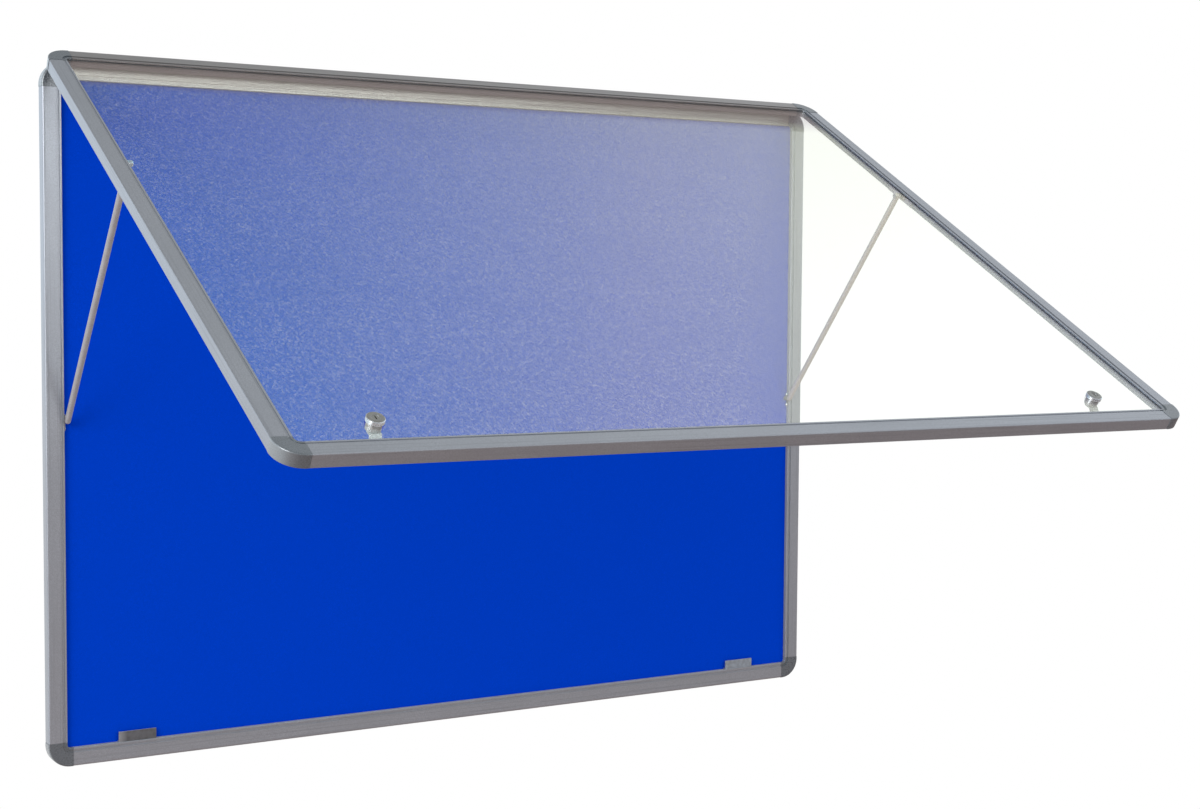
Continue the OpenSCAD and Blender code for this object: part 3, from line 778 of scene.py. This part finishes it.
def bar(size: Way, centre: Way, taper: float) -> Mesh:
    """Makes a bar whose lower end is smaller than its upper one.

    Args:
        size: Its extent in x, y and z.
        centre: Its middle.
        taper: Size of the lower end as a share of the upper one.

    Returns:
        The bar's mesh.
    """
    shape = bmesh.new()
    bmesh.ops.create_cube(shape, size=1.0)
    for vert in shape.verts:
        share = taper if vert.co.z < 0 else 1.0
        vert.co = Vector((vert.co.x * size[0] * share, vert.co.y * size[1] * share,
                          vert.co.z * size[2]))
        vert.co += Vector(centre)
    return shape


def stack(shapes: list[tuple[Mesh, Matrix]]) -> Mesh:
    """Puts several placed shapes into one mesh.

    Args:
        shapes: Each shape with its place. A shape may be used more than once.

    Returns:
        The joined mesh.
    """
    result = bmesh.new()
    done = []
    for shape, place in shapes:
        mesh = bpy.data.meshes.new("part")
        shape.to_mesh(mesh)
        mesh.transform(place)
        result.from_mesh(mesh)
        bpy.data.meshes.remove(mesh)
        if shape not in done:
            done.append(shape)
    for shape in done:
        shape.free()
    return result


def islands(node: str) -> list[list[Vector]]:
    """Splits one of the board's solids into its separate bodies.

    Args:
        node: The solid's name.

    Returns:
        The corner points of each body, in order from left to right and upwards.
    """
    mesh = bmesh.new()
    mesh.from_mesh(frame["nodes"][node].data)
    bmesh.ops.remove_doubles(mesh, verts=mesh.verts, dist=WELD)
    left = dict.fromkeys(mesh.verts)
    groups = []
    while left:
        queue = [left.popitem()[0]]
        group = []
        while queue:
            vert = queue.pop()
            group.append(vert.co.copy())
            for edge in vert.link_edges:
                other = edge.other_vert(vert)
                if other in left:
                    del left[other]
                    queue.append(other)
        groups.append(group)
    mesh.free()
    return sorted(groups, key=lambda points: (round(points[0].x, 2), points[0].z))


def soften(node: str, width: float) -> None:
    """Breaks the sharp edges of one of the board's solids.

    Args:
        node: The solid's name.
        width: Width of the broken edge in metres.
    """
    step = frame["nodes"][node].modifiers.new("broken_edges", "BEVEL")
    step.width = width
    step.segments = 2
    step.limit_method = "ANGLE"
    step.angle_limit = math.radians(50)
    step.harden_normals = True


@dataclass
class ScrewSet:
    """A set of equal small screws: domed heads with a cross recess, and threaded shanks.

    Shapes are given as shares: outwards of the radius, downwards of the height or the pitch.
    """

    node: str
    body: str
    axis: Vector
    finish: Finish
    pitch: float = 0.0007
    turns: tuple[float, ...] = (0.3, 1.1, -0.4, 0.75, -0.9, 0.1, 1.4, -0.2)
    facets: int = 28
    dome: tuple[Span, ...] = ((0.45, 0.04), (0.75, 0.2), (0.93, 0.5), (1, 0.85), (0.98, 1))
    thread: tuple[Span, ...] = ((0.8, 0.3), (0.8, 0.5), (1, 0.9))
    threaded: float = 0.85
    tip: Span = (0.7, 0.9)
    recess_long: float = 1.15
    recess_wide: float = 0.24
    recess_deep: Span = (1.1, 0.3)
    recess_rise: float = 0.3
    recess_taper: float = 0.5
    head_from: float = 0.9

    def sizes(self, points: list[Vector]) -> tuple[Vector, float, float, float, float]:
        """Measures one screw of the set.

        Args:
            points: The corner points of its solid.

        Returns:
            The middle of its head's top, the head's radius and height, the shank's radius and
            length.
        """
        axis = self.axis.normalized()
        along = [point.dot(axis) for point in points]
        top, low = max(along), min(along)
        centre = sum(points, Vector()) / len(points)
        centre += axis * (top - centre.dot(axis))
        away = [((point - centre) - axis * (point - centre).dot(axis)).length
                for point in points]
        head = max(away)
        neck = min(height for height, far in zip(along, away) if far > self.head_from * head)
        shank = max(far for height, far in zip(along, away) if height < low + LEVEL)
        return centre, head, top - neck, shank, neck - low

    def one(self, head: float, height: float, shank: float, length: float) -> Mesh:
        """Makes one screw, its head's top at the origin and its shank down the z axis.

        Args:
            head: Radius of the head.
            height: Height of the head.
            shank: Radius of the shank.
            length: Length of the shank.

        Returns:
            The screw's mesh.
        """
        profile: Profile = [(0.0, 0.0)]
        profile += [(head * out, -height * down) for out, down in self.dome]
        profile.append((shank, -height))
        depth = height
        while depth + self.pitch < height + length * self.threaded:
            profile += [(shank * out, -depth - self.pitch * down) for out, down in self.thread]
            depth += self.pitch
        profile += [(shank * self.tip[0], -height - length * self.tip[1]),
                    (0.0, -height - length)]
        long, wide = head * self.recess_long, head * self.recess_wide
        deep = height * self.recess_deep[0] + shank * self.recess_deep[1]
        middle = (0, 0, -deep / 2 + height * self.recess_rise)
        return cut(turned(profile, self.facets),
                   [bar((long, wide, deep), middle, self.recess_taper),
                    bar((wide, long, deep), middle, self.recess_taper)])

    def build(self) -> None:
        """Makes the whole set as one piece, in the place of its plain solids."""
        shapes = []
        template = None
        for number, points in enumerate(islands(self.node)):
            centre, *measures = self.sizes(points)
            if template is None:
                template = self.one(*measures)
            turn = Matrix.Rotation(self.turns[number % len(self.turns)], 4, "Z")
            shapes.append((template, facing(self.axis, centre) @ turn))
        piece = new_piece(self.node + "_recessed", stack(shapes))
        dress(piece, self.finish)
        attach(piece, self.body)
        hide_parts(self.node)
        log.info("%s: %d screws", piece.name, len(shapes))


# ---------------------------------------------------------------- colours and finishes in use


def rail_metal(name: str, colour: Rgb, rail: str, run: Run = Run.ACROSS, way: Way = RIGHT,
               pitch: float = 620) -> AnodisedAluminium:
    """Finishes a run of rails, with painted shade and grime in the seams at the ends of one of
    them.

    Args:
        name: The finish's name.
        colour: Its colour.
        rail: The rail that is measured for the seams.
        run: The way its drawing lines run.
        way: The direction along it.
        pitch: Drawing lines per metre.

    Returns:
        The finish.
    """
    return AnodisedAluminium(name, colour, run, along=way, ends=reach(rail, way), pitch=pitch)


SILVER: Rgb = (0.337, 0.362, 0.4)
FRAME_SILVER: Rgb = (0.38, 0.408, 0.452)
# painted highlight colour for the keep plates' upper faces
LIT_RIM_HIGHLIGHT: Rgb = (0.6, 0.63, 0.65)
COARSE = 300  # drawing lines per metre on the two top rails
KEEP_BRUSH: Way = (40, 900, 900)
KEEP_LEFT_END = -0.509  # metres, the left end of the left keep plate
FRAME_ACROSS = rail_metal("frame_aluminium_across", FRAME_SILVER, "frame_rail_top")
# painted light: a paler, warmer copy of the frame's aluminium for the top rail, standing in for the
# light on it behind the glass
FRAME_TOP_LIT = rail_metal("frame_aluminium_top_lit", (0.44, 0.44, 0.4), "frame_rail_top", pitch=COARSE)
FRAME_UPRIGHT = rail_metal("frame_aluminium_upright", FRAME_SILVER, "frame_rail_left",
                           Run.UPRIGHT, UP)
# painted shade: a darker copy of the door's aluminium for the top rail, whose inner wall is seen in
# shade through the glass
DOOR_TOP_SHADED = rail_metal("door_aluminium_top_shaded", (0.285, 0.28, 0.28), "door_rail_top", pitch=COARSE)
DOOR_ACROSS = rail_metal("door_aluminium_across", SILVER, "door_rail_top")
DOOR_UPRIGHT = rail_metal("door_aluminium_upright", SILVER, "door_rail_left",
                          Run.DOOR_SIDE, tuple(DOOR_DOWN))
HINGE_METAL = AnodisedAluminium("hinge_aluminium", SILVER, roughness=0.35)
SLATE = CornerPaint("corner_slate", (0.096, 0.116, 0.135))
FELT = BlueFelt("felt_blue", (0.0, 0.0465, 0.57))
GLAZING = ClearGlazing("glazing_clear", (0.97, 0.985, 0.98),
                       reach("glazing_sheet", tuple(DOOR_DOWN))[0])
SEAL = SoftRubber("gasket_black", (0.085, 0.095, 0.1))
ZINC = PlatedMetal("zinc_plate", (0.6, 0.6, 0.6))
SCREW_ZINC = PlatedMetal("screw_zinc", (0.62, 0.62, 0.62), 0.25)
# painted light: the two keep plates are one metal; the left one is a darker shaded copy, the right
# one a paler lit copy
KEEP_METAL = {
    Side.LEFT: PlatedMetal("keep_metal_left_shaded", (0.222, 0.246, 0.268), 0.36, brush=KEEP_BRUSH,
                           lit_rim=LIT_RIM_HIGHLIGHT, lit_end=KEEP_LEFT_END),
    Side.RIGHT: PlatedMetal("keep_metal_right_lit", (0.475, 0.575, 0.66), 0.36, brush=KEEP_BRUSH,
                            lit_rim=LIT_RIM_HIGHLIGHT)}
CATCH_METAL = PlatedMetal("catch_metal", (0.3, 0.31, 0.33), 0.35)
# painted light: the two stays are one metal; the right one is a paler, warmer lit copy of the left
STAY_METAL = {
    Side.LEFT: PlatedMetal("stay_metal_left", (0.4, 0.405, 0.43), mottle=0.05, metal=0.35),
    Side.RIGHT: PlatedMetal("stay_metal_right_lit", (0.52, 0.47, 0.44), mottle=0.05, metal=0.3)}
LOCK_METAL = PlatedMetal("lock_metal", (0.66, 0.7, 0.74), 0.24, 0.08, 0.8)
LOCK_FACE = PlatedMetal("lock_face", (0.195, 0.2, 0.19), 0.3, 0.1, 0.4)
CAM_METAL = PlatedMetal("cam_zinc", (0.38, 0.38, 0.37), 0.4, 0.1, 0.5)
FIBREBOARD = PressedFibre("pinboard_fibre", (0.36, 0.25, 0.14))
BACKING = BackBoard("backing_sheet", (0.62, 0.61, 0.58))


# ---------------------------------------------------------------- sub-assemblies


@dataclass
class BackFrame:
    """The rails and corner pieces that stand on the wall."""

    upright: tuple[str, ...] = ("frame_rail_left", "frame_rail_right")
    corners: tuple[str, ...] = ("frame_corner_bottom_left", "frame_corner_bottom_right",
                                "frame_corner_top_right", "frame_corner_top_left")

    def build(self) -> None:
        """Dresses the rails and the corners."""
        dress_nodes(FRAME_TOP_LIT, "frame_rail_top")
        dress_nodes(FRAME_ACROSS, "frame_rail_bottom")
        dress_nodes(FRAME_UPRIGHT, *self.upright)
        dress_nodes(SLATE, *self.corners)


@dataclass
class Pinboard:
    """The felt-faced panel and its backing."""

    def build(self) -> None:
        """Dresses the three layers."""
        dress_nodes(FELT, "fabric_facing")
        dress_nodes(FIBREBOARD, "pinboard_core")
        dress_nodes(BACKING, "back_sheet")


@dataclass
class WallHardware:
    """Keyhole plates on the back, with their screws."""

    def build(self) -> None:
        """Dresses the plates and makes their screws."""
        dress_nodes(ZINC, "hanging_plates")
        ScrewSet("hanging_screws", "back_frame", TO_WALL, SCREW_ZINC).build()


@dataclass
class Keeps:
    """The angle plates that the cams turn behind, and the eyelets that take the stays."""

    screws: tuple[str, ...] = ("keep_screws", "catch_screws")

    def build(self) -> None:
        """Dresses the plates and makes their screws."""
        for side in Side:
            dress_nodes(KEEP_METAL[side], f"keep_plate_{side.value}")
            dress_nodes(CATCH_METAL, f"stay_catch_{side.value}")
        for node in self.screws:
            ScrewSet(node, "back_frame", TO_ROOM, SCREW_ZINC).build()


@dataclass
class Hinge:
    """The continuous hinge along the top edge."""

    def build(self) -> None:
        """Dresses the leaves and pin and makes their screws."""
        dress_nodes(HINGE_METAL, "hinge_leaf_frame", "hinge_leaf_door")
        dress_nodes(ZINC, "hinge_pin")
        ScrewSet("hinge_screws_frame", "back_frame", TO_ROOM, SCREW_ZINC).build()
        ScrewSet("hinge_screws_door", "door", -DOOR_OUT, SCREW_ZINC).build()


@dataclass
class Door:
    """The glazed door: rails, corners, glazing and seal."""

    sides: tuple[str, ...] = ("door_rail_left", "door_rail_right")
    corners: tuple[str, ...] = ("door_corner_bottom_left", "door_corner_bottom_right",
                                "door_corner_top_right", "door_corner_top_left")

    def build(self) -> None:
        """Dresses the rails, the corners, the glazing and its seal."""
        dress_nodes(DOOR_TOP_SHADED, "door_rail_top")
        dress_nodes(DOOR_ACROSS, "door_rail_bottom")
        dress_nodes(DOOR_UPRIGHT, *self.sides)
        dress_nodes(SLATE, *self.corners)
        dress_nodes(GLAZING, "glazing_sheet")
        dress_nodes(SEAL, "glazing_gasket")


@dataclass
class Stay:
    """One prop rod with its bracket and pivot pin on the door."""

    side: Side

    def build(self) -> None:
        """Dresses the rod, the bracket and the pin."""
        name = self.side.value
        dress_nodes(STAY_METAL[self.side], f"stay_rod_{name}")
        dress_nodes(ZINC, f"stay_bracket_{name}", f"stay_pivot_{name}")


@dataclass
class BracketScrews:
    """The screws that hold the two stay brackets to the door's side rails."""

    def build(self) -> None:
        """Leaves the plain screws in place and dresses them."""
        dress_nodes(SCREW_ZINC, "bracket_screws")


@dataclass
class Lock:
    """One cam lock: housing with its face plate, nut, plug, cam and screw."""

    side: Side
    plate_r: float = 0.0093
    plate_hole: float = 0.0047
    plate_t: float = 0.00028
    plate_facets: int = 64
    cam_edge: float = 0.0002
    screw_pitch: float = 0.0008

    def front(self) -> tuple[Vector, Vector]:
        """Finds where the lock's head faces the user.

        Returns:
            The middle of the head's face, and the way that it looks.
        """
        joint = next(each for each in frame["joints"]
                     if each["name"] == f"{self.side.value}_lock_turn")
        place, axis = Vector(joint["pos_m"]), Vector(joint["axis"]).normalized()
        top = reach(f"lock_housing_{self.side.value}", tuple(axis))[1]
        return place + axis * (top - place.dot(axis)), axis

    def face_plate(self) -> None:
        """Makes the brushed ring on the head's face, which leaves the plug a little sunk."""
        edge, hole, thick = self.plate_r, self.plate_hole, self.plate_t
        profile = [(hole, -thick), (hole, thick * 0.6), (hole + thick, thick),
                   (edge - thick, thick), (edge, thick * 0.4), (edge, -thick), (hole, -thick)]
        centre, axis = self.front()
        ring = stack([(turned(profile, self.plate_facets), facing(axis, centre))])
        piece = new_piece(f"lock_face_{self.side.value}", ring)
        dress(piece, LOCK_FACE)
        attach(piece, "door")

    def build(self) -> None:
        """Dresses the lock's parts and makes its face plate and the cam's screw."""
        name = self.side.value
        dress_nodes(LOCK_METAL, f"lock_housing_{name}")
        dress_nodes(CAM_METAL, f"lock_nut_{name}", f"lock_cam_{name}")
        dress_nodes(LOCK_FACE, f"lock_plug_{name}")
        soften(f"lock_cam_{name}", self.cam_edge)
        self.face_plate()
        ScrewSet(f"cam_screw_{name}", f"lock_{name}", -DOOR_OUT, SCREW_ZINC,
                 self.screw_pitch).build()


# ---------------------------------------------------------------- studio


@dataclass
class Camera:
    """The camera, where the photograph was taken from."""

    lens: float = 56.707
    sensor: float = 36.0
    sees_to: float = 200.0
    place: Way = (-1.25096, -2.41939, 0.16386)
    turn: Way = (86.62123385, -0.38604936, -31.51117346)

    def build(self) -> None:
        """Sets the camera up."""
        lens = bpy.data.cameras.new("camera")
        lens.lens = self.lens
        lens.sensor_width = self.sensor
        lens.sensor_fit = "HORIZONTAL"
        lens.clip_end = self.sees_to
        camera = bpy.data.objects.new("camera", lens)
        camera.location = self.place
        camera.rotation_euler = Euler([math.radians(angle) for angle in self.turn], "XYZ")
        bpy.context.scene.collection.objects.link(camera)
        bpy.context.scene.camera = camera


@dataclass
class Floor:
    """The pale floor, which turns plain white away from the board."""

    height: float = -1.5
    size: float = 60.0
    colour: Rgb = (0.5, 0.42, 0.4)
    mirrored: Rgb = (0.33, 0.25, 0.23)
    seen: Rgb = (0.84, 0.83, 0.82)
    cloud: Rgb = (0.5, 0.5, 0.5)
    cloud_cells: float = 3
    cloud_share: float = 0.04
    white: Rgb = (1, 1, 1)
    white_ring: Span = (1.5, 3.1)
    white_way: Way = (-0.7, 0.7, 0)
    white_past: Span = (0.2, 1.5)

    def build(self) -> None:
        """Lays the floor."""
        shape = bmesh.new()
        bmesh.ops.create_grid(shape, x_segments=1, y_segments=1, size=self.size / 2)
        for vert in shape.verts:
            vert.co.z = self.height
        floor = new_piece("floor", shape)
        bench = Bench("floor_pale")
        direct, reflected = bench.rays()
        base = bench.tint(reflected, self.colour, self.mirrored)
        base = bench.tint(direct, base, self.seen)
        clouds = bench.noise(bench.place(), self.cloud_cells, 4)
        base = bench.overlay(base, clouds, UPPER, self.cloud, self.cloud_share)
        bench.set(Base_Color=base, Roughness=0.9, Specular_IOR_Level=0.1)
        flat = bench.vectors("MULTIPLY", {0: bench.place(), 1: (1, 1, 0)}).outputs[0]
        away = bench.vectors("LENGTH", {0: flat}).outputs["Value"]
        seen = bench.product(direct, bench.spread(away, *self.white_ring, smooth=True))
        behind = bench.spread(bench.along(bench.place(), self.white_way), *self.white_past)
        share = bench.sum("MAXIMUM", seen, bench.product(reflected, behind))
        glow = bench.fill(bench.add("Emission"), {"Color": self.white})
        bench.link(bench.blend_shaders(share, bench.shader.outputs[0], glow.outputs[0]),
                   bench.surface)
        floor.data.materials.append(bench.material)
        log.info("floor at %.2f m", self.height)


@dataclass
class Surroundings:
    """The soft light from all round, the studio that metal and glass mirror, and plain white.

    A pair of colours is what is mirrored on the left and on the right.
    """

    white: Rgb = (1.0, 1.0, 1.0)
    light_heights: Span = (-0.6, 0.8)
    light_levels: Span = (0.55, 0.98)
    over_heights: Span = (0.2, 0.55)
    front_sides: Span = (0.0, 0.5)
    front_panel: Way = (0.33, -0.94, 0.1)
    front_edge: Span = (0.86, 1.0)
    front_levels: Span = (0.87, 0.92)
    left_window: Span = (0.6, 0.95)
    left_level: float = 2.2
    front_colour: Rgb = (1.0, 1.02, 1.06)
    wall_colour: Rgb = (1.2, 1.33, 1.45)
    over_sides: Span = (0.25, 0.69)
    over: tuple[Rgb, Rgb] = ((0.44, 0.45, 0.455), (0.95, 0.97, 1.0))
    glass_sides: Span = (0.25, 0.54)
    glass_steep: tuple[Rgb, Rgb] = ((0.168, 0.92, 1.3), (1.23, 1.295, 1.18))
    glass_flat: tuple[Rgb, Rgb] = ((0.17, 0.3, 0.46), (0.77, 0.775, 0.527))
    flat_from: Span = (0.35, 0.55)
    dark_edge: Rgb = (0.42, 0.36, 0.35)
    dark_edge_way: Way = (0, 0.807, -0.591)
    dark_edge_span: Span = (-0.002, 0.003)

    def satin(self, bench: NodeBench, way: Socket, is_over: Socket) -> Socket:
        """Gives what metal mirrors.

        Args:
            bench: The world's bench.
            way: The direction looked in.
            is_over: How far it looks up.

        Returns:
            The colour's socket.
        """
        is_front = bench.spread(bench.along(way, tuple(TO_ROOM)), *self.front_sides, smooth=True)
        level = bench.spread(bench.along(way, self.front_panel), *self.front_edge,
                             *self.front_levels, smooth=True)
        level = bench.sum("ADD", level, bench.spread(bench.along(way, LEFT), *self.left_window,
                                                     0, self.left_level))
        ahead = bench.tint(is_front, self.wall_colour, bench.scaled(self.front_colour, level))
        across = bench.spread(bench.along(way, RIGHT), *self.over_sides)
        return bench.tint(is_over, ahead, bench.tint(across, *self.over))

    def veil(self, bench: NodeBench, way: Socket) -> Socket:
        """Gives what the glass mirrors of the space above the board.

        Args:
            bench: The world's bench.
            way: The direction looked in.

        Returns:
            The colour's socket.
        """
        across = bench.spread(bench.along(way, RIGHT), *self.glass_sides)
        colour = bench.tint(bench.spread(bench.along(way, tuple(TO_WALL)), *self.flat_from),
                            bench.tint(across, *self.glass_steep),
                            bench.tint(across, *self.glass_flat))
        return bench.overlay(colour, bench.along(way, self.dark_edge_way), self.dark_edge_span,
                             self.dark_edge)

    def build(self) -> None:
        """Sets up the world."""
        world = bpy.data.worlds.new("studio")
        bpy.context.scene.world = world
        world.use_nodes = True
        bench = NodeBench(world.node_tree)
        way = bench.add("TexCoord").outputs["Generated"]
        height = bench.along(way, UP)
        soft = bench.spread(height, *self.light_heights, *self.light_levels, smooth=True)
        is_over = bench.spread(height, *self.over_heights, smooth=True)
        satin = self.satin(bench, way, is_over)
        glass = bench.tint(is_over, satin, self.veil(bench, way))
        mirrored = bench.tint(bench.add("LightPath").outputs["Is Singular Ray"], satin, glass)
        direct, reflected = bench.rays()
        colour = bench.tint(reflected, bench.scaled(self.white, soft), mirrored)
        bench.fill(world.node_tree.nodes["Background"],
                   {"Color": bench.tint(direct, colour, self.white), "Strength": 1.0})


@dataclass
class Lamp:
    """One soft square lamp: its place, the point it faces, its width and its power in watts."""

    name: str
    place: Way
    aim: Way
    size: float
    power: float
    mirrored: bool = True

    def build(self) -> None:
        """Hangs the lamp."""
        light = bpy.data.lights.new(self.name, "AREA")
        light.shape = "SQUARE"
        light.size = self.size
        light.energy = self.power
        lamp = bpy.data.objects.new(self.name, light)
        lamp.location = self.place
        lamp.visible_glossy = self.mirrored
        beam = Vector(self.aim) - Vector(self.place)
        lamp.rotation_euler = beam.to_track_quat("-Z", "Y").to_euler()
        bpy.context.scene.collection.objects.link(lamp)


KEY_LAMP = Lamp("key_lamp", (-3.7, -2.6, 1.6), (0, -0.3, 0.1), 2.2, 85)
FRONT_LAMP = Lamp("front_lamp", (1.1, -3.7, 0.8), (-0.2, 0, 0.1), 1.5, 20, mirrored=False)


def main() -> None:
    """Builds the studio and every sub-assembly in order."""
    logging.basicConfig(level=logging.INFO, format="%(message)s")
    bpy.context.scene.view_settings.view_transform = "Standard"
    assemblies = [Camera(), Floor(), Surroundings(), KEY_LAMP, FRONT_LAMP, BackFrame(),
                  Pinboard(), WallHardware(), Keeps(), Hinge(), Door(), Stay(Side.LEFT),
                  Stay(Side.RIGHT), BracketScrews(), Lock(Side.LEFT), Lock(Side.RIGHT)]
    for assembly in assemblies:
        assembly.build()
        log.info("built: %s", type(assembly).__name__)


if __name__ == "__main__":
    main()
